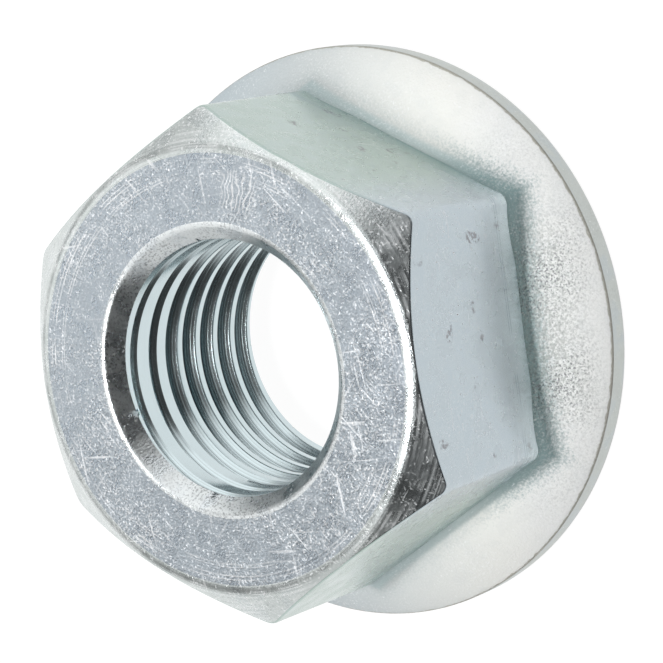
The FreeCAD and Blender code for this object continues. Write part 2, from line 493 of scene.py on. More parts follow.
@dataclass
class FlangeNut:
    """The whole nut, built and dressed as one piece, with its lengths in millimetres."""

    name: str = "nut_body"
    node: str = "flange_nut"
    slot: str = "zinc_steel"
    crease_angle: float = 26.0
    weld: float = 0.002
    bore_weld: float = 0.0004
    least_area: float = 1e-7
    least_step: float = 1e-6
    halvings: int = 30
    turns_below: int = 2
    spare_turns: int = 3
    section: NutSection = field(default_factory=NutSection)
    thread: Thread = field(default_factory=Thread)

    def __post_init__(self) -> None:
        """Choose the section planes that the skin and the bore share, and one turn of thread."""
        self.columns = self.section.hexagon.columns()
        self.profile = self.thread.turn()

    def column_of(self, spot: Vector) -> int:
        """Number of the even column that a turned vertex lies on."""
        count = len(self.columns)
        return round(math.atan2(spot.y, spot.x) / TURN * count) % count

    def turn_skin(self, mesh: bmesh.types.BMesh) -> None:
        """Turn the outer section once round the axis and shape each column of it.

        Args:
            mesh: The mesh that receives the skin.
        """
        station = mesh.verts.layers.int.new("station")
        sections = [self.section.points(angle) for angle in self.columns]
        start = sections[0]
        chain = []
        for number, ((reach, height), _) in enumerate(start):
            vert = mesh.verts.new((reach * MM, 0.0, height * MM))
            vert[station] = number
            chain.append(vert)
        edges = [mesh.edges.new(pair) for pair in zip(chain, chain[1:])]
        bmesh.ops.spin(mesh, geom=chain + edges, cent=(0.0, 0.0, 0.0), axis=(0.0, 0.0, 1.0),
                       angle=TURN, steps=len(self.columns), use_merge=True,
                       use_normal_flip=False, use_duplicate=False)
        for face in mesh.faces:
            last = max(vert[station] for vert in face.verts)
            face.material_index = int(start[last][1])
        for vert in mesh.verts:
            column = self.column_of(vert.co)
            reach, height = sections[column][vert[station]][0]
            angle = self.columns[column]
            vert.co = Vector((reach * math.cos(angle), reach * math.sin(angle), height)) * MM

    def bore_reach(self, height: float, angle: float) -> tuple[float, float, bool]:
        """Find the bore's wall at one place.

        Args:
            height: Height above the bearing face, in millimetres.
            angle: Direction round the axis, in radians.

        Returns:
            The thread's and the sinks' distance from the axis, and whether a sink is cut there.
        """
        pitch = self.thread.pitch
        depth = self.section.height - height
        offset = (height - pitch * (angle / TURN + self.thread.phase)) % pitch
        offset = self.thread.narrow(offset, depth)
        thread = self.profile[-1][1]
        for (low, near), (high, far) in zip(self.profile, self.profile[1:]):
            if low <= offset <= high:
                thread = near + (far - near) * (offset - low) / (high - low)
                break
        crest = self.thread.crest_radius(depth)
        sinks = (self.section.bearing_sink, self.section.free_sink)
        below_foot = min(height - sinks[0].foot(crest), depth - sinks[1].foot(crest))
        thread = max(crest, min(thread, crest + max(0.0, below_foot) * self.thread.runout))
        sink = max(sinks[0].reach(height), sinks[1].reach(depth))
        return thread, sink, sink > thread

    def cut_bore(self, mesh: bmesh.types.BMesh) -> None:
        """Spin one turn of thread, repeat it up the bore and open both ends into their sinks.

        Args:
            mesh: The mesh that receives the bore's wall.
        """
        count = len(self.columns)
        pitch = self.thread.pitch
        rows = len(self.profile) - 1
        low = self.section.bearing_sink.lip_depth
        high = self.section.height - self.section.free_sink.lip_depth
        turns = math.ceil(self.section.height / pitch) + self.spare_turns
        base = (self.thread.phase - self.turns_below) * pitch
        bore = bmesh.new()
        station = bore.verts.layers.int.new("station")
        chain = []
        for number, (height, reach) in enumerate(self.profile):
            vert = bore.verts.new((reach, 0.0, base + height))
            vert[station] = number
            chain.append(vert)
        edges = [bore.edges.new(pair) for pair in zip(chain, chain[1:])]
        bmesh.ops.spin(bore, geom=chain + edges, cent=(0.0, 0.0, 0.0), axis=(0.0, 0.0, 1.0),
                       dvec=(0.0, 0.0, pitch / count), angle=TURN, steps=count,
                       use_merge=False, use_normal_flip=False, use_duplicate=False)
        turn = [*bore.verts, *bore.edges, *bore.faces]
        for lap in range(1, turns):
            copy = bmesh.ops.duplicate(bore, geom=turn)["geom"]
            raised = [item for item in copy if isinstance(item, bmesh.types.BMVert)]
            bmesh.ops.translate(bore, verts=raised, vec=(0.0, 0.0, pitch * lap))
        ladders: dict[int, dict[int, list[bmesh.types.BMVert]]] = {}
        for vert in bore.verts:
            column = self.column_of(vert.co)
            climbed = vert.co.z - base - pitch * column / count - self.profile[vert[station]][0]
            row = round(climbed / pitch) * rows + vert[station]
            ladders.setdefault(column, {}).setdefault(row, []).append(vert)
        for column, ladder in ladders.items():
            self.set_ladder(column, ladder, base, low, high)
        bmesh.ops.remove_doubles(bore, verts=bore.verts, dist=self.bore_weld)
        flat_faces = [face for face in bore.faces if face.calc_area() < self.least_area]
        bmesh.ops.delete(bore, geom=flat_faces, context="FACES")
        for vert in bore.verts:
            vert.co = vert.co * MM
        self.name_bore_zones(bore)
        carrier = bpy.data.meshes.new("bore_carrier")
        bore.to_mesh(carrier)
        bore.free()
        mesh.from_mesh(carrier)
        bpy.data.meshes.remove(carrier)

    def set_ladder(self, column: int, ladder: dict[int, list[bmesh.types.BMVert]],
                   base: float, low: float, high: float) -> None:
        """Put every rung of one column on the bore's wall, and one where it meets each sink.

        Args:
            column: Number of the column.
            ladder: The vertices on each rung, by the rung's number.
            base: Height at which the lowest turn starts.
            low: Lowest height of the wall.
            high: Highest height of the wall.
        """
        angle = self.columns[column]
        rows = len(self.profile) - 1
        rungs = sorted(ladder)
        heights = []
        for row in rungs:
            turn, step = divmod(row, rows)
            start = base + self.thread.pitch * (turn + angle / TURN)
            rung = self.profile[step][0]
            rung = self.thread.widen(rung, self.section.height - start - rung)
            heights.append(min(high, max(low, start + rung)))
        gaps = []
        for height in heights:
            thread, sink, _ = self.bore_reach(height, angle)
            gaps.append(thread - sink)
        for i in range(len(rungs) - 1):
            if (heights[i + 1] - heights[i] < self.least_step
                    or (gaps[i] > 0.0) == (gaps[i + 1] > 0.0)):
                continue
            near, far = heights[i], heights[i + 1]
            for _ in range(self.halvings):
                middle = (near + far) / 2.0
                thread, sink, _ = self.bore_reach(middle, angle)
                if (thread > sink) == (gaps[i] > 0.0):
                    near = middle
                else:
                    far = middle
            closer = i if near - heights[i] < heights[i + 1] - near else i + 1
            if low < heights[closer] < high:
                heights[closer] = near
        for row, height in zip(rungs, heights):
            thread, sink, _ = self.bore_reach(height, angle)
            reach = max(thread, sink)
            for vert in ladder[row]:
                vert.co = Vector((reach * math.cos(angle), reach * math.sin(angle), height))

    def name_bore_zones(self, bore: bmesh.types.BMesh) -> None:
        """Give each face of the bore the finish of the thread or of a sink."""
        for face in bore.faces:
            middle = face.calc_center_median() / MM
            angle = math.atan2(middle.y, middle.x) % TURN
            is_sink = self.bore_reach(middle.z, angle)[2]
            face.material_index = int(Zone.SINK if is_sink else Zone.THREAD)

    def build(self) -> bpy.types.Object:
        """Build the nut's mesh and put it in the frame.

        Returns:
            The finished piece.
        """
        mesh = bmesh.new()
        self.turn_skin(mesh)
        self.cut_bore(mesh)
        bmesh.ops.remove_doubles(mesh, verts=mesh.verts, dist=self.weld * MM)
        bmesh.ops.recalc_face_normals(mesh, faces=mesh.faces)
        if mesh.calc_volume(signed=True) < 0.0:
            bmesh.ops.reverse_faces(mesh, faces=mesh.faces)
        open_edges = [edge for edge in mesh.edges if not edge.is_manifold]
        LOG.info("%s: %d faces, %d open edges, %.1f cubic millimetres", self.name,
                 len(mesh.faces), len(open_edges), mesh.calc_volume() / MM ** 3)
        for face in mesh.faces:
            face.smooth = True
        for edge in mesh.edges:
            edge.smooth = edge.calc_face_angle(0.0) < math.radians(self.crease_angle)
        data = bpy.data.meshes.new(self.name)
        mesh.to_mesh(data)
        mesh.free()
        piece = bpy.data.objects.new(self.name, data)
        bpy.context.scene.collection.objects.link(piece)
        return piece

    def dress(self, piece: bpy.types.Object, finishes: "dict[Zone, ZincFinish]") -> None:
        """Give the piece its finishes and tie it to the frame.

        Args:
            piece: The nut's object.
            finishes: The finish of each zone.
        """
        for zone in Zone:
            piece.data.materials.append(finishes[zone].material())
        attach(piece, "root")
        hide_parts(self.node)


@dataclass(frozen=True)
class Cloud:
    """A noise, and the values of it between which a mask fades in or out."""

    scale: float
    detail: float
    fade: Fade
    rough: float = 0.5


def toward(bearing: float) -> Triple:
    """Level direction at an angle round the axis, in radians."""
    return (math.cos(bearing), math.sin(bearing), 0.0)


class Graph:
    """A small helper that adds and links nodes in one node tree."""

    def __init__(self, tree: bpy.types.NodeTree) -> None:
        """Keep the tree to work on."""
        self.tree = tree

    def add(self, kind: str, inputs: dict | None = None, **settings: object) -> bpy.types.Node:
        """Add a node.

        Args:
            kind: Blender's name of the node type.
            inputs: Values or sockets for its inputs, by name or number.
            **settings: Attributes of the node.

        Returns:
            The new node.
        """
        node = self.tree.nodes.new(kind)
        for name, value in settings.items():
            setattr(node, name, value)
        for name, value in (inputs or {}).items():
            if isinstance(value, bpy.types.NodeSocket):
                self.tree.links.new(value, node.inputs[name])
            else:
                node.inputs[name].default_value = value
        return node

    def math(self, operation: str, *values: object, clamp: bool = False) -> bpy.types.NodeSocket:
        """Add a Math node.

        Args:
            operation: Blender's name of the operation.
            *values: Numbers or sockets.
            clamp: Whether the result is kept between 0 and 1.

        Returns:
            The result's socket.
        """
        node = self.add("ShaderNodeMath", dict(enumerate(values)), operation=operation,
                        use_clamp=clamp)
        return node.outputs[0]

    def product(self, first: object, *others: object) -> bpy.types.NodeSocket:
        """Multiply numbers or sockets one after another and return the result's socket."""
        for other in others:
            first = self.math("MULTIPLY", first, other)
        return first

    def dot(self, vector: bpy.types.NodeSocket, direction: Triple) -> bpy.types.NodeSocket:
        """Measure how far a place lies in one direction and return the socket."""
        node = self.add("ShaderNodeVectorMath", {0: vector, 1: direction},
                        operation="DOT_PRODUCT")
        return node.outputs["Value"]

    def ramp(self, value: bpy.types.NodeSocket, low: float, high: float,
             start: float = 0.0, end: float = 1.0) -> bpy.types.NodeSocket:
        """Map a value smoothly from one range to another and return the socket."""
        node = self.add("ShaderNodeMapRange", {"Value": value, "From Min": low, "From Max": high,
                                               "To Min": start, "To Max": end},
                        interpolation_type="SMOOTHSTEP")
        return node.outputs["Result"]

    def mix(self, share: object, first: object, second: object) -> bpy.types.NodeSocket:
        """Mix two colours.

        Args:
            share: Share of the second colour.
            first: First colour or its socket.
            second: Second colour or its socket.

        Returns:
            The mixed colour's socket.
        """
        pair = [(*colour, 1.0) if isinstance(colour, tuple) else colour
                for colour in (first, second)]
        node = self.add("ShaderNodeMix", {0: share, 6: pair[0], 7: pair[1]}, data_type="RGBA")
        return node.outputs[2]

    def noise(self, vector: bpy.types.NodeSocket, scale: float, detail: float,
              rough: float = 0.5) -> bpy.types.NodeSocket:
        """Add a noise and return its value's socket."""
        node = self.add("ShaderNodeTexNoise", {"Vector": vector, "Scale": scale,
                                               "Detail": detail, "Roughness": rough})
        return node.outputs[0]

    def cloud(self, vector: bpy.types.NodeSocket, cloud: Cloud) -> bpy.types.NodeSocket:
        """Add a cloud and return its mask's socket."""
        return self.ramp(self.noise(vector, cloud.scale, cloud.detail, cloud.rough), *cloud.fade)

    def band(self, value: bpy.types.NodeSocket,
             fades: tuple[Fade, Fade]) -> bpy.types.NodeSocket:
        """Fade a mask in and out again along a value and return its socket."""
        return self.product(self.ramp(value, *fades[0]), self.ramp(value, *fades[1]))

    def send(self, out: bpy.types.Node, results: dict[str, bpy.types.NodeSocket]) -> None:
        """Link results to the inputs of an output node, by name."""
        for name, socket in results.items():
            self.tree.links.new(socket, out.inputs[name])


def new_group(name: str, inputs: dict[str, float | None],
              outputs: tuple[str, ...]) -> tuple[Graph, bpy.types.Node, bpy.types.Node]:
    """Start a shader node group that works on a place on the nut.

    Args:
        name: Name of the group.
        inputs: Default of each number that the group takes, by name, or None for a colour.
        outputs: Names of its results, where Place is a vector and Color a colour.

    Returns:
        The group's graph, its input node and its output node.
    """
    kinds = {"Place": "NodeSocketVector", "Color": "NodeSocketColor"}
    tree = bpy.data.node_groups.new(name, "ShaderNodeTree")
    if inputs:
        tree.interface.new_socket(name="Place", in_out="INPUT", socket_type=kinds["Place"])
    for label, value in inputs.items():
        kind = kinds["Color"] if value is None else "NodeSocketFloat"
        item = tree.interface.new_socket(name=label, in_out="INPUT", socket_type=kind)
        if value is not None:
            item.default_value = value
    for label in outputs:
        kind = kinds.get(label, "NodeSocketFloat")
        tree.interface.new_socket(name=label, in_out="OUTPUT", socket_type=kind)
    graph = Graph(tree)
    return graph, graph.add("NodeGroupInput"), graph.add("NodeGroupOutput")


@dataclass
class SurfaceEffects:
    """The node groups that the zinc finishes share, each built once.

    Distances are in millimetres and angles in radians. A fade gives the two values between
    which a mask goes from 0 to 1, and after them the mask's own two values if they differ. A
    noise is given by its scale and detail, and by its roughness if that isn't a half.
    """

    scratch_turns: tuple[Triple, ...] = (
        (0.0, 0.0, 0.55), (0.0, 0.0, 1.35), (0.0, 0.0, 2.2), (0.0, 0.0, -0.35),
        (1.2, 0.2, 0.4), (0.5, 1.3, 0.1))
    scratch_size: Triple = (0.16, 3.2, 0.16)
    scratch_shift: Triple = (2.3, 3.1, 0.7)
    scratch_line: Cloud = Cloud(1.0, 0.0, (0.76, 0.83))
    scratch_patch: Cloud = Cloud(0.3, 2.0, (0.35, 0.65, 0.3, 1.0))
    nick_scale: float = 1.3
    nick_edge: Fade = (0.05, 0.1, 1.0, 0.0)
    nick_patch: Cloud = Cloud(0.8, 1.0, (0.5, 0.62))
    smudge_patch: Cloud = Cloud(0.75, 1.0, (0.68, 0.74))
    smudge_grain: Cloud = Cloud(5.0, 2.0, (0.42, 0.6))

    fleck_turns: tuple[Triple, ...] = (
        (0.0, 0.0, 0.3), (0.0, 0.0, 1.2), (0.1, 0.0, 2.1), (0.0, 0.1, 2.75), (1.3, 0.1, 0.4))
    fleck_width: float = 0.13
    fleck_shift: Triple = (1.3, 2.7, 0.9)
    fleck_crowd: Cloud = Cloud(0.35, 2.0, (0.3, 0.7, 0.45, 1.3))
    fleck_edge: Fade = (0.14, 0.36, 1.0, 0.0)
    fleck_dimmest: float = 0.35

    grain_noise: tuple[float, float, float] = (8.5, 2.0, 0.6)
    speck_fade: Fade = (0.52, 0.68)
    pit_shift: Triple = (31.0, 17.0, 5.0)
    pits: Cloud = Cloud(9.5, 1.0, (0.48, 0.36))
    grain_patch: Cloud = Cloud(0.3, 1.0, (0.38, 0.62, 0.35, 1.0))

    cool_flat: float = -TURN / 6.0
    tint_noise: tuple[float, float] = (0.9, 3.0)
    warm_ragged: float = 3.0
    warm_fade: Fade = (12.0, 8.5)
    blotch_fade: Fade = (0.52, 0.36)
    blotch_colour: Colour = (0.34, 0.42, 0.5)
    # Painted shade on the lower part of the flats, with a lighter painted reflection at the foot
    # of the cool flat.
    foot_ragged: float = 1.6
    foot_fade: Fade = (6.6, 4.0)
    foot_aside: Fade = (7.5, 10.8)
    foot_shade_and_highlight_colours: tuple[Colour, Colour] = ((0.28, 0.41, 0.41), (0.86, 0.97, 1.0))
    seam_fade: Fade = (11.45, 11.15)
    # Where the flange beside the cool flat gets a mottled cloud of painted shade over its grain.
    near_fades: tuple[Fade, Fade] = ((-6.0, -3.0, 0.2, 1.0), (6.5, 2.5, 0.2, 1.0))
    near_walls: Fade = (14.5, 12.4, 0.1, 1.0)
    near_aside: Fade = (7.5, 11.5, 0.2, 1.0)
    # Painted shade: a dark band on the flange round the hexagon's foot, strongest beside the cool
    # flat.
    crevice_noise: tuple[float, float, float] = (8.0, 2.0, 0.6)
    crevice_ragged: float = 2.2
    crevice_fade: Fade = (13.3, 12.1)
    crevice_aside: Fade = (6.0, 10.0, 0.25, 1.0)
    shade_fade: Fade = (9.5, -8.0)
    shade_colour: Colour = (0.43, 0.49, 0.52)
    worn_side: Triple = (0.77, 0.64, 0.0)
    worn_fade: Fade = (5.0, 6.3)
    haze_fade: Fade = (0.3, 0.7)

    ring_noise: tuple[float, float] = (9.0, 3.0)
    ring_fade: Fade = (0.52, 0.62)
    ring_band: tuple[Fade, Fade] = ((9.2, 9.5), (10.1, 10.3, 1.0, 0.0))
    ring_patch: Cloud = Cloud(0.5, 1.0, (0.4, 0.6))
    chatter_noise: tuple[float, float] = (1.1, 1.0)
    chatter_sway: float = 0.09
    chatter_count: float = 230.0
    chatter_fade: Fade = (0.2, 0.9)
    chatter_fan: tuple[Fade, Fade] = ((0.1, 0.16), (0.3, 0.38, 1.0, 0.0))
    chatter_band: tuple[Fade, Fade] = ((7.6, 8.1), (9.3, 9.9, 1.0, 0.0))
    tone_fade: Fade = (0.58, 0.4)
    tone_reach: Fade = (6.28, 6.38)
    rim_noise: tuple[float, float] = (2.5, 2.0)
    rim_ragged: float = 0.16
    rim_fade: Fade = (14.6, 14.64)
    drawn_count: float = 34.0
    drawn_fade: Fade = (0.5, 0.95)
    drawn_band: tuple[Fade, Fade] = ((4.5, 4.6), (4.95, 5.05, 1.0, 0.0))

    def __post_init__(self) -> None:
        """Build every group."""
        self.millimetres = self.build_millimetres()
        self.scratches = self.build_scratches()
        self.flecks = self.build_flecks()
        self.grain = self.build_grain()
        self.tint = self.build_tint()
        self.rings = self.build_rings()

    def build_millimetres(self) -> bpy.types.NodeTree:
        """Build the group that gives the place on the nut in millimetres.

        Returns:
            The group.
        """
        graph, _, out = new_group("Place in millimetres", {}, ("Place",))
        place = graph.add("ShaderNodeTexCoord")
        scaled = graph.add("ShaderNodeVectorMath", {0: place.outputs["Object"], "Scale": 1.0 / MM},
                           operation="SCALE")
        graph.send(out, {"Place": scaled.outputs[0]})
        return graph.tree

    def build_scratches(self) -> bpy.types.NodeTree:
        """Build the group of long, thin handling scratches that run in several directions.

        Returns:
            The group.
        """
        graph, given, out = new_group("Handling scratches", {"Amount": 0.5},
                                      ("Mask", "Nicks", "Smudge"))
        place, amount = given.outputs["Place"], given.outputs["Amount"]
        marks = 0.0
        for number, turn in enumerate(self.scratch_turns):
            laid = graph.add("ShaderNodeMapping", {
                "Vector": place, "Rotation": turn, "Scale": self.scratch_size,
                "Location": tuple(step * number for step in self.scratch_shift)},
                vector_type="TEXTURE")
            line = graph.cloud(laid.outputs[0], self.scratch_line)
            marks = graph.math("MAXIMUM", marks, line)
        dots = graph.add("ShaderNodeTexVoronoi", {"Vector": place, "Scale": self.nick_scale})
        nick = graph.ramp(dots.outputs["Distance"], *self.nick_edge)
        graph.send(out, {
            "Mask": graph.product(marks, graph.cloud(place, self.scratch_patch), amount),
            "Nicks": graph.product(nick, graph.cloud(place, self.nick_patch), amount),
            "Smudge": graph.product(graph.cloud(place, self.smudge_patch),
                                    graph.cloud(place, self.smudge_grain))})
        return graph.tree

    def build_flecks(self) -> bpy.types.NodeTree:
        """Build the group of short, bright flecks that lie in all directions.

        Returns:
            The group.
        """
        graph, given, out = new_group("Short flecks", {"Share": 0.5, "Length": 0.45}, ("Mask",))
        place = given.outputs["Place"]
        share = graph.product(graph.cloud(place, self.fleck_crowd), given.outputs["Share"])
        limit = graph.math("SUBTRACT", 1.0, share)
        size = graph.add("ShaderNodeCombineXYZ", {
            0: self.fleck_width, 1: given.outputs["Length"], 2: self.fleck_width})
        marks = 0.0
        for number, turn in enumerate(self.fleck_turns):
            laid = graph.add("ShaderNodeMapping", {
                "Vector": place, "Rotation": turn, "Scale": size.outputs[0],
                "Location": tuple(step * number for step in self.fleck_shift)},
                vector_type="TEXTURE")
            cells = graph.add("ShaderNodeTexVoronoi", {"Vector": laid.outputs[0], "Scale": 1.0})
            stroke = graph.ramp(cells.outputs["Distance"], *self.fleck_edge)
            parts = graph.add("ShaderNodeSeparateColor", {0: cells.outputs["Color"]})
            chosen = graph.math("GREATER_THAN", parts.outputs[0], limit)
            bright = graph.math("ADD", self.fleck_dimmest, graph.product(
                parts.outputs[1], 1.0 - self.fleck_dimmest))
            marks = graph.math("MAXIMUM", marks, graph.product(stroke, chosen, bright))
        graph.send(out, {"Mask": marks})
        return graph.tree

    def build_grain(self) -> bpy.types.NodeTree:
        """Build the group of the grain that forging and pickling leave.

        Returns:
            The group.
        """
        graph, given, out = new_group("Forged grain", {"Amount": 0.5},
                                      ("Height", "Pits", "Specks"))
        place, amount = given.outputs["Place"], given.outputs["Amount"]
        fine = graph.noise(place, *self.grain_noise)
        shifted = graph.add("ShaderNodeVectorMath", {0: place, 1: self.pit_shift},
                            operation="ADD")
        patch = graph.cloud(place, self.grain_patch)
        graph.send(out, {
            "Height": graph.product(fine, amount),
            "Pits": graph.product(graph.cloud(shifted.outputs[0], self.pits), patch, amount),
            "Specks": graph.product(graph.ramp(fine, *self.speck_fade), patch)})
        return graph.tree

    def build_tint(self) -> bpy.types.NodeTree:
        """Build the group of the plating's colours, painted shade and where each stain lies.

        Seam is the blend at the hexagon's foot, Crevice the painted shade round it, Near the
        flange beside the cool flat, which gets a mottled cloud of painted shade over its grain,
        and Worn the side of the sinks that is rubbed dull. Foot paints shade on the lower flats
        and a lighter painted reflection at the cool flat's foot, and Shade paints shade on the
        flange's far side.

        Returns:
            The group.
        """
        graph, given, out = new_group(
            "Plating tint", {"Cool": None, "Warm": None, "Warmth": 0.3, "Blotch": 0.2,
                             "Foot": 0.0, "Shade": 0.0},
            ("Color", "Haze", "Seam", "Near", "Crevice", "Worn"))
        place = given.outputs["Place"]
        height = graph.add("ShaderNodeSeparateXYZ", {0: place}).outputs[2]
        small = graph.noise(place, *self.tint_noise)
        aside = graph.dot(place, toward(self.cool_flat))
        along = graph.dot(place, toward(self.cool_flat + TURN / 4.0))
        walls = 0.0
        for pair_of_flats in range(3):
            reach = graph.math("ABSOLUTE", graph.dot(place, toward(TURN / 6.0 * pair_of_flats)))
            walls = graph.math("MAXIMUM", walls, reach)

        ragged = graph.math("ADD", aside, graph.product(small, self.warm_ragged))
        patch = graph.product(graph.ramp(ragged, *self.warm_fade), given.outputs["Warmth"])
        colour = graph.mix(patch, given.outputs["Cool"], given.outputs["Warm"])
        dark = graph.product(graph.ramp(small, *self.blotch_fade), given.outputs["Blotch"])
        colour = graph.mix(dark, colour, self.blotch_colour)
        # Painted shade darkens the lower flats, and a lighter painted reflection lies at the cool
        # flat's foot.
        raised = graph.math("ADD", height, graph.product(small, self.foot_ragged))
        low = graph.product(graph.ramp(raised, *self.foot_fade), given.outputs["Foot"])
        foot = graph.mix(graph.ramp(aside, *self.foot_aside), *self.foot_shade_and_highlight_colours)
        colour = graph.mix(low, colour, foot)
        far = graph.product(graph.ramp(aside, *self.shade_fade), given.outputs["Shade"])
        colour = graph.mix(far, colour, self.shade_colour)

        grainy = graph.product(graph.noise(place, *self.crevice_noise), self.crevice_ragged)
        # The flange beside the cool flat, partly grain and partly painted shade.
        near = graph.product(graph.band(along, self.near_fades),
                             graph.ramp(walls, *self.near_walls),
                             graph.ramp(aside, *self.near_aside))
        # Painted shade: a dark band round the hexagon's foot, strongest beside the cool flat.
        crevice = graph.product(
            graph.ramp(graph.math("ADD", walls, grainy), *self.crevice_fade),
            graph.ramp(aside, *self.crevice_aside))
        worn = graph.ramp(graph.dot(place, self.worn_side), *self.worn_fade)
        graph.send(out, {"Color": colour, "Haze": graph.ramp(small, *self.haze_fade),
                         "Seam": graph.ramp(walls, *self.seam_fade), "Near": near,
                         "Crevice": crevice, "Worn": worn})
        return graph.tree

    def build_rings(self) -> bpy.types.NodeTree:
        """Build the group of what turning and drawing leave: rings, chatter marks and lines.

        Lines are the bright rings near the face's rim, Chatter the cutter's marks on the
        face, Tone the dark tool lines in the thread and on the chamfer, Rim the stained edge
        of the flange and Drawn the lines along the foot of the flats.

        Returns:
            The group.
        """
        graph, given, out = new_group("Turning rings", {"Amount": 0.5},
                                      ("Height", "Lines", "Chatter", "Tone", "Rim", "Drawn"))
        place = given.outputs["Place"]
        x, y, height = graph.add("ShaderNodeSeparateXYZ", {0: place}).outputs
        reach = graph.math("SQRT", graph.math("ADD", graph.math("POWER", x, 2.0),
                                              graph.math("POWER", y, 2.0)))
        bearing = graph.math("ARCTAN2", y, x)
        ring = graph.add("ShaderNodeTexNoise", {
            "W": reach, "Scale": self.ring_noise[0], "Detail": self.ring_noise[1]},
            noise_dimensions="1D").outputs[0]
        broken = graph.cloud(place, self.ring_patch)
        lines = graph.product(graph.ramp(ring, *self.ring_fade),
                              graph.band(reach, self.ring_band), broken)

        sway = graph.product(graph.noise(place, *self.chatter_noise), self.chatter_sway)
        wave = graph.math("SINE", graph.product(graph.math("ADD", bearing, sway),
                                                self.chatter_count))
        chatter = graph.product(graph.band(bearing, self.chatter_fan),
                                graph.band(reach, self.chatter_band),
                                graph.ramp(wave, *self.chatter_fade))

        tone = graph.product(graph.ramp(ring, *self.tone_fade),
                             graph.ramp(reach, *self.tone_reach))
        ragged = graph.math("ADD", reach, graph.product(graph.noise(place, *self.rim_noise),
                                                        self.rim_ragged))
        ripple = graph.math("SINE", graph.product(height, self.drawn_count))
        drawn = graph.product(graph.ramp(ripple, *self.drawn_fade),
                              graph.band(height, self.drawn_band), broken)
        graph.send(out, {"Height": graph.product(ring, given.outputs["Amount"]),
                         "Lines": lines, "Chatter": chatter, "Tone": tone,
                         "Rim": graph.ramp(ragged, *self.rim_fade), "Drawn": drawn})
        return graph.tree


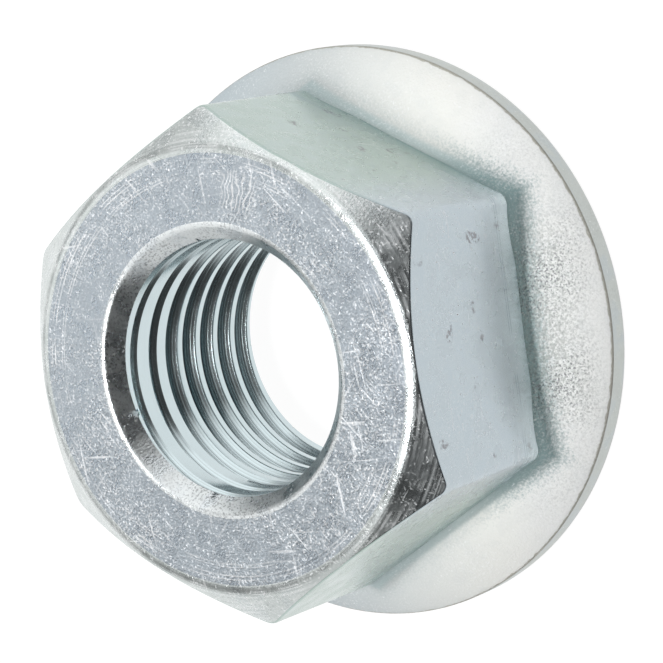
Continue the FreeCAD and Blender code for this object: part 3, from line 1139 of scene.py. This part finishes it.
@dataclass(frozen=True)
class ZincFinish:
    """A zinc-plated finish for one zone of the nut."""

    name: str
    effects: SurfaceEffects
    cool: Colour = (0.60, 0.67, 0.71)
    warm: Colour = (0.66, 0.70, 0.60)
    light: Colour = (0.97, 0.98, 0.99)
    warmth: float = 0.3
    blotch: float = 0.2
    metallic: float = 1.0
    roughness: float = 0.3
    haze: float = 0.1
    scratches: float = 0.5
    raised_roughness: float = 0.15
    raised_height: float = 0.2
    raised_dullness: float = 0.5
    nicks: float = 0.6
    nick_colour: Colour = (0.2, 0.22, 0.23)
    smudges: float = 0.0
    smudge_colour: Colour = (0.2, 0.19, 0.2)
    flecks: float = 0.1
    fleck_length: float = 0.45
    fleck_strength: float = 0.6
    grain: float = 0.1
    grain_depth: float = 0.02
    specks: float = 0.1
    pit_darkness: float = 0.3
    pit_colour: Colour = (0.1, 0.11, 0.12)
    bare_pits: float = 0.0
    near_only: float = 0.0
    # A mottled cloud beside the cool flat: partly the forged grain, partly painted shade.
    near_cloud: Cloud = Cloud(7.0, 3.0, (0.38, 0.62), 0.7)
    near_strength: float = 0.6
    near_mottled_shade_colour: Colour = (0.24, 0.27, 0.25)
    # Share of painted shade on the lower flats, lighter at the cool flat's foot as a painted
    # reflection.
    foot: float = 0.0
    shade: float = 0.0
    seam: float = 0.0
    seam_roughness: float = 0.42
    seam_colour: Colour = (0.5, 0.63, 0.64)
    # Painted shade: a dark teal band round the hexagon's foot.
    crevice: float = 0.0
    crevice_shade_colour: Colour = (0.15, 0.28, 0.29)
    worn: float = 0.0
    rings: float = 0.0
    ring_tone: float = 0.0
    ring_colour: Colour = (0.1, 0.13, 0.14)
    marks: float = 0.0
    streaks: float = 0.0
    streak_patch: Cloud = Cloud(0.7, 2.0, (0.42, 0.6))
    rim: float = 0.0
    rim_colour: Colour = (0.3, 0.28, 0.2)
    drawn: float = 0.0
    drawn_colour: Colour = (0.25, 0.33, 0.38)

    def material(self) -> bpy.types.Material:
        """Build the material.

        Returns:
            The material, with its own shader.
        """
        material = bpy.data.materials.new(self.name)
        material.use_nodes = True
        material.node_tree.nodes.clear()
        graph = Graph(material.node_tree)
        effects = self.effects
        place = graph.add("ShaderNodeGroup", node_tree=effects.millimetres).outputs["Place"]

        def use(group: bpy.types.NodeTree, **amounts: object) -> bpy.types.bpy_prop_collection:
            """Place a group on the nut and return its outputs."""
            return graph.add("ShaderNodeGroup", {"Place": place, **amounts},
                             node_tree=group).outputs

        tint = use(effects.tint, Cool=(*self.cool, 1.0), Warm=(*self.warm, 1.0),
                   Warmth=self.warmth, Blotch=self.blotch, Foot=self.foot, Shade=self.shade)
        scratch = use(effects.scratches, Amount=self.scratches)
        fleck = use(effects.flecks, Share=self.flecks, Length=self.fleck_length)
        grain = use(effects.grain, Amount=self.grain)
        rings = use(effects.rings, Amount=self.rings)

        seam = graph.product(tint["Seam"], self.seam)
        near = graph.product(tint["Near"], self.near_only)
        pitted = graph.product(grain["Pits"], graph.math("ADD", 1.0 - self.near_only, near))
        # Mottled cloud beside the cool flat: partly the grain, partly painted shade.
        cloud = graph.product(graph.cloud(place, self.near_cloud), near, self.near_strength)
        marks = graph.math("MAXIMUM", rings["Lines"], rings["Chatter"])
        streak = graph.product(rings["Tone"], self.streaks, graph.cloud(place, self.streak_patch))
        layers = (
            (seam, self.seam_colour),
            # Painted shade: a dark band round the hexagon's foot.
            (graph.product(tint["Crevice"], self.crevice), self.crevice_shade_colour),
            # Mottled cloud beside the cool flat: partly the grain, partly painted shade.
            (cloud, self.near_mottled_shade_colour),
            (graph.product(pitted, self.pit_darkness), self.pit_colour),
            (graph.product(rings["Rim"], self.rim), self.rim_colour),
            (graph.product(rings["Drawn"], self.drawn), self.drawn_colour),
            (graph.product(rings["Tone"], self.ring_tone), self.ring_colour),
            (graph.product(grain["Specks"], self.specks), self.light),
            (graph.product(fleck["Mask"], self.fleck_strength), self.light),
            (scratch["Mask"], self.light),
            (graph.product(marks, self.marks), self.light),
            (graph.product(scratch["Nicks"], self.nicks), self.nick_colour),
            (graph.product(scratch["Smudge"], self.smudges), self.smudge_colour),
            (streak, self.light),
        )
        base = tint["Color"]
        for mask, colour in layers:
            base = graph.mix(mask, base, colour)

        raised = graph.math("MAXIMUM", scratch["Mask"], fleck["Mask"])
        rough = graph.math("ADD", self.roughness, graph.product(tint["Haze"], self.haze))
        rough = graph.math("ADD", rough, graph.product(raised, self.raised_roughness))
        smoother = max(0.0, self.roughness - self.seam_roughness)
        rough = graph.math("SUBTRACT", rough, graph.product(seam, smoother), clamp=True)
        height = graph.math("ADD", grain["Height"], rings["Height"])
        height = graph.math("SUBTRACT", height, graph.product(raised, self.raised_height))
        bump = graph.add("ShaderNodeBump", {"Height": height, "Strength": 1.0,
                                            "Distance": self.grain_depth * MM})
        bare = graph.math("MAXIMUM", seam, graph.product(pitted, self.bare_pits))
        metal = graph.math("ADD", self.metallic, graph.product(bare, 1.0 - self.metallic))
        scuffed = graph.math("MAXIMUM", graph.product(tint["Worn"], self.worn), graph.math(
            "MAXIMUM", streak, graph.product(raised, self.raised_dullness)))
        metal = graph.math("MULTIPLY", metal, graph.math("SUBTRACT", 1.0, scuffed), clamp=True)
        shader = graph.add("ShaderNodeBsdfPrincipled", {
            "Base Color": base, "Metallic": metal, "Roughness": rough,
            "Normal": bump.outputs["Normal"]})
        graph.send(graph.add("ShaderNodeOutputMaterial"), {"Surface": shader.outputs[0]})
        return material


def zinc_finishes() -> dict[Zone, ZincFinish]:
    """List the finish of each zone of the nut."""
    effects = SurfaceEffects()
    return {
        Zone.FACE: ZincFinish("zinc_face", effects, cool=(0.47, 0.525, 0.58),
                              warm=(0.49, 0.545, 0.58), roughness=0.25, scratches=0.6,
                              flecks=0.34, fleck_length=0.3, fleck_strength=0.6, grain=0.8,
                              specks=0.75, rings=0.25, warmth=0.4, blotch=0.16, marks=0.7,
                              pit_darkness=0.5),
        Zone.CHAMFER: ZincFinish("zinc_chamfer", effects, cool=(0.66, 0.71, 0.72),
                                 roughness=0.22, scratches=0.6, flecks=0.2, grain=0.5,
                                 rings=0.4, warmth=0.2, blotch=0.1, specks=0.4, streaks=0.35),
        # The flats carry painted shade on their lower part, lighter on the cool flat's foot as a
        # painted reflection.
        Zone.FLAT: ZincFinish("zinc_flat", effects, cool=(0.50, 0.565, 0.60),
                              warm=(0.45, 0.54, 0.505), roughness=0.2, scratches=0.2,
                              flecks=0.02, warmth=1.0, blotch=0.1, foot=0.6, smudges=0.7,
                              drawn=0.8, specks=0.06),
        # The flange takes painted shade round the hexagon's foot, a mottled cloud of painted shade
        # over its grain beside the cool flat, and painted shade on its far side.
        Zone.FLANGE: ZincFinish("zinc_flange", effects, cool=(0.86, 0.87, 0.86),
                                warm=(0.88, 0.88, 0.825), metallic=0.05, warmth=0.6,
                                roughness=0.55, scratches=0.05, flecks=0.02, grain=1.0,
                                grain_depth=0.025, blotch=0.05, specks=0.3,
                                pit_darkness=0.75, seam=0.6, crevice=0.72, shade=1.0,
                                bare_pits=0.5, near_only=1.0, rim=0.6),
        Zone.EDGE: ZincFinish("zinc_edge", effects, cool=(0.53, 0.56, 0.54), roughness=0.35,
                              scratches=0.05, flecks=0.03, grain=0.3, warmth=0.1),
        Zone.SINK: ZincFinish("zinc_sink", effects, cool=(0.78, 0.82, 0.83),
                              warm=(0.79, 0.82, 0.82), roughness=0.25,
                              scratches=0.1, flecks=0.06, grain=0.9, grain_depth=0.025,
                              warmth=0.4, pit_darkness=0.6, specks=0.3, worn=0.8),
        Zone.THREAD: ZincFinish("zinc_thread", effects, cool=(0.62, 0.705, 0.725),
                                warm=(0.59, 0.69, 0.715), roughness=0.14, haze=0.06,
                                scratches=0.0, flecks=0.0, grain=0.05, specks=0.0, warmth=0.5,
                                blotch=0.0, rings=0.6, ring_tone=0.8),
    }


@dataclass(frozen=True)
class Lamp:
    """A round, soft patch of light or shade round the nut, with angles in degrees."""

    azimuth: float
    elevation: float
    inner: float
    outer: float
    level: float

    def mask(self, graph: Graph, place: bpy.types.NodeSocket) -> bpy.types.NodeSocket:
        """Show where the patch lies.

        Args:
            graph: The world's graph.
            place: The direction seen from the nut.

        Returns:
            A socket that is 1 inside the patch and 0 outside it.
        """
        azimuth, elevation = math.radians(self.azimuth), math.radians(self.elevation)
        flat = math.cos(elevation)
        middle = (flat * math.cos(azimuth), flat * math.sin(azimuth), math.sin(elevation))
        return graph.ramp(graph.dot(place, middle), math.cos(math.radians(self.outer)),
                          math.cos(math.radians(self.inner)))


@dataclass(frozen=True)
class Screen:
    """An upright, soft-edged screen round the nut, with angles in degrees."""

    azimuth: float
    half_width: float
    low: float
    high: float
    level: float
    soft: float = 4.0

    def mask(self, graph: Graph, place: bpy.types.NodeSocket) -> bpy.types.NodeSocket:
        """Show where the screen lies.

        Args:
            graph: The world's graph.
            place: The direction seen from the nut.

        Returns:
            A socket that is 1 inside the screen and 0 outside it.
        """
        def sine(angle: float) -> float:
            """Sine of an angle in degrees."""
            return math.sin(math.radians(angle))

        level_ground = graph.add("ShaderNodeVectorMath", {0: place, 1: (1.0, 1.0, 0.0)},
                                 operation="MULTIPLY")
        bearing = graph.add("ShaderNodeVectorMath", {0: level_ground.outputs[0]},
                            operation="NORMALIZE")
        turn = graph.dot(bearing.outputs[0], toward(math.radians(self.azimuth)))
        rise = graph.add("ShaderNodeSeparateXYZ", {0: place}).outputs[2]
        side = graph.ramp(turn, math.cos(math.radians(self.half_width + self.soft)),
                          math.cos(math.radians(self.half_width - self.soft)))
        foot = graph.ramp(rise, sine(self.low - self.soft), sine(self.low + self.soft))
        head = graph.ramp(rise, sine(self.high - self.soft), sine(self.high + self.soft),
                          1.0, 0.0)
        return graph.product(foot, head, side)


@dataclass
class Studio:
    """The floor, the soft light round the nut and the camera.

    The floor's size and the camera's nearest view are in metres, and the other lengths in
    millimetres. A later patch of light covers the ones before it.
    """

    floor_size: float = 3.0
    floor_gap: float = 0.01
    floor_colour: float = 0.1
    floor_glow: float = 0.94
    wall_level: float = 0.78
    patches: tuple[Lamp | Screen, ...] = (
        # The face mirrors a grey screen with a soft lamp on it.
        Screen(105.0, 50.0, 5.0, 75.0, 0.5, 8.0),
        Lamp(118.0, 44.0, 0.0, 24.0, 1.26),
        # Two dark screens tone the face down towards its right and its bottom.
        Screen(128.0, 34.0, 58.0, 78.0, 0.2, 6.0),
        Screen(158.0, 20.0, 20.0, 75.0, 0.25, 8.0),
        # A lamp almost overhead lights the flange.
        Lamp(-110.0, 86.0, 7.0, 13.0, 23.0),
        # A bright screen lights the top of the flange.
        Screen(38.0, 26.0, 3.0, 66.0, 1.22),
        # The near corners' chamfers, the sink's left and the thread mirror a dark screen.
        Screen(-77.0, 72.0, 2.0, 71.0, 0.05, 6.0),
    )
    camera_place: tuple[float, float, float] = (52.842, -64.568, 123.053)
    camera_turn: tuple[float, float, float, float] = (0.7999447, 0.0928130, 0.2855520, -0.5195520)
    lens: float = 157.39
    sensor: float = 36.0
    nearest: float = 0.01

    def lay_floor(self) -> None:
        mesh = bmesh.new()
        bmesh.ops.create_grid(mesh, x_segments=1, y_segments=1, size=self.floor_size / 2.0)
        data = bpy.data.meshes.new("floor")
        mesh.to_mesh(data)
        mesh.free()
        floor = bpy.data.objects.new("floor", data)
        floor.location = (0.0, 0.0, -self.floor_gap * MM)
        bpy.context.scene.collection.objects.link(floor)
        material = bpy.data.materials.new("floor_paper")
        material.use_nodes = True
        material.node_tree.nodes.clear()
        graph = Graph(material.node_tree)
        grey = self.floor_colour
        paper = graph.add("ShaderNodeBsdfDiffuse", {"Color": (grey, grey, grey, 1.0)})
        rays = graph.add("ShaderNodeLightPath")
        seen = graph.math("MAXIMUM", rays.outputs["Is Camera Ray"], rays.outputs["Is Glossy Ray"])
        seen = graph.math("MAXIMUM", seen, rays.outputs["Is Transmission Ray"])
        glow = graph.add("ShaderNodeEmission", {
            "Color": (1.0, 1.0, 1.0, 1.0), "Strength": graph.product(seen, self.floor_glow)})
        both = graph.add("ShaderNodeAddShader", {0: paper.outputs[0], 1: glow.outputs[0]})
        graph.send(graph.add("ShaderNodeOutputMaterial"), {"Surface": both.outputs[0]})
        data.materials.append(material)

    def light(self) -> None:
        """Surround the nut with the studio's soft light."""
        world = bpy.data.worlds.new("studio")
        bpy.context.scene.world = world
        world.use_nodes = True
        world.node_tree.nodes.clear()
        graph = Graph(world.node_tree)
        place = graph.add("ShaderNodeTexCoord")
        level: object = self.wall_level
        for patch in self.patches:
            mask = patch.mask(graph, place.outputs["Generated"])
            kept = graph.product(level, graph.math("SUBTRACT", 1.0, mask))
            level = graph.math("ADD", kept, graph.product(mask, patch.level))
        rays = graph.add("ShaderNodeLightPath")
        soft = graph.add("ShaderNodeBackground", {"Color": (1.0, 1.0, 1.0, 1.0),
                                                  "Strength": level})
        white = graph.add("ShaderNodeBackground", {"Color": (1.0, 1.0, 1.0, 1.0),
                                                   "Strength": 1.0})
        both = graph.add("ShaderNodeMixShader", {0: rays.outputs["Is Camera Ray"],
                                                 1: soft.outputs[0], 2: white.outputs[0]})
        graph.send(graph.add("ShaderNodeOutputWorld"), {"Surface": both.outputs[0]})

    def place_camera(self) -> None:
        """Put the camera where the nut is seen from, slightly rolled."""
        lens = bpy.data.cameras.new("camera")
        lens.sensor_width = self.sensor
        lens.lens = self.lens
        lens.clip_start = self.nearest
        camera = bpy.data.objects.new("camera", lens)
        camera.location = Vector(self.camera_place) * MM
        camera.rotation_mode = "QUATERNION"
        camera.rotation_quaternion = Quaternion(self.camera_turn)
        bpy.context.scene.collection.objects.link(camera)
        bpy.context.scene.camera = camera

    def build(self) -> None:
        """Set up the floor, the light, the camera and the plain view."""
        self.lay_floor()
        self.light()
        self.place_camera()
        bpy.context.scene.view_settings.view_transform = "Standard"
        LOG.info("studio: floor, light and camera are in place")


def main() -> None:
    """Build the nut and its studio in order."""
    logging.basicConfig(level=logging.INFO)
    nut = FlangeNut()
    piece = nut.build()
    nut.dress(piece, zinc_finishes())
    Studio().build()


if __name__ == "__main__":
    main()
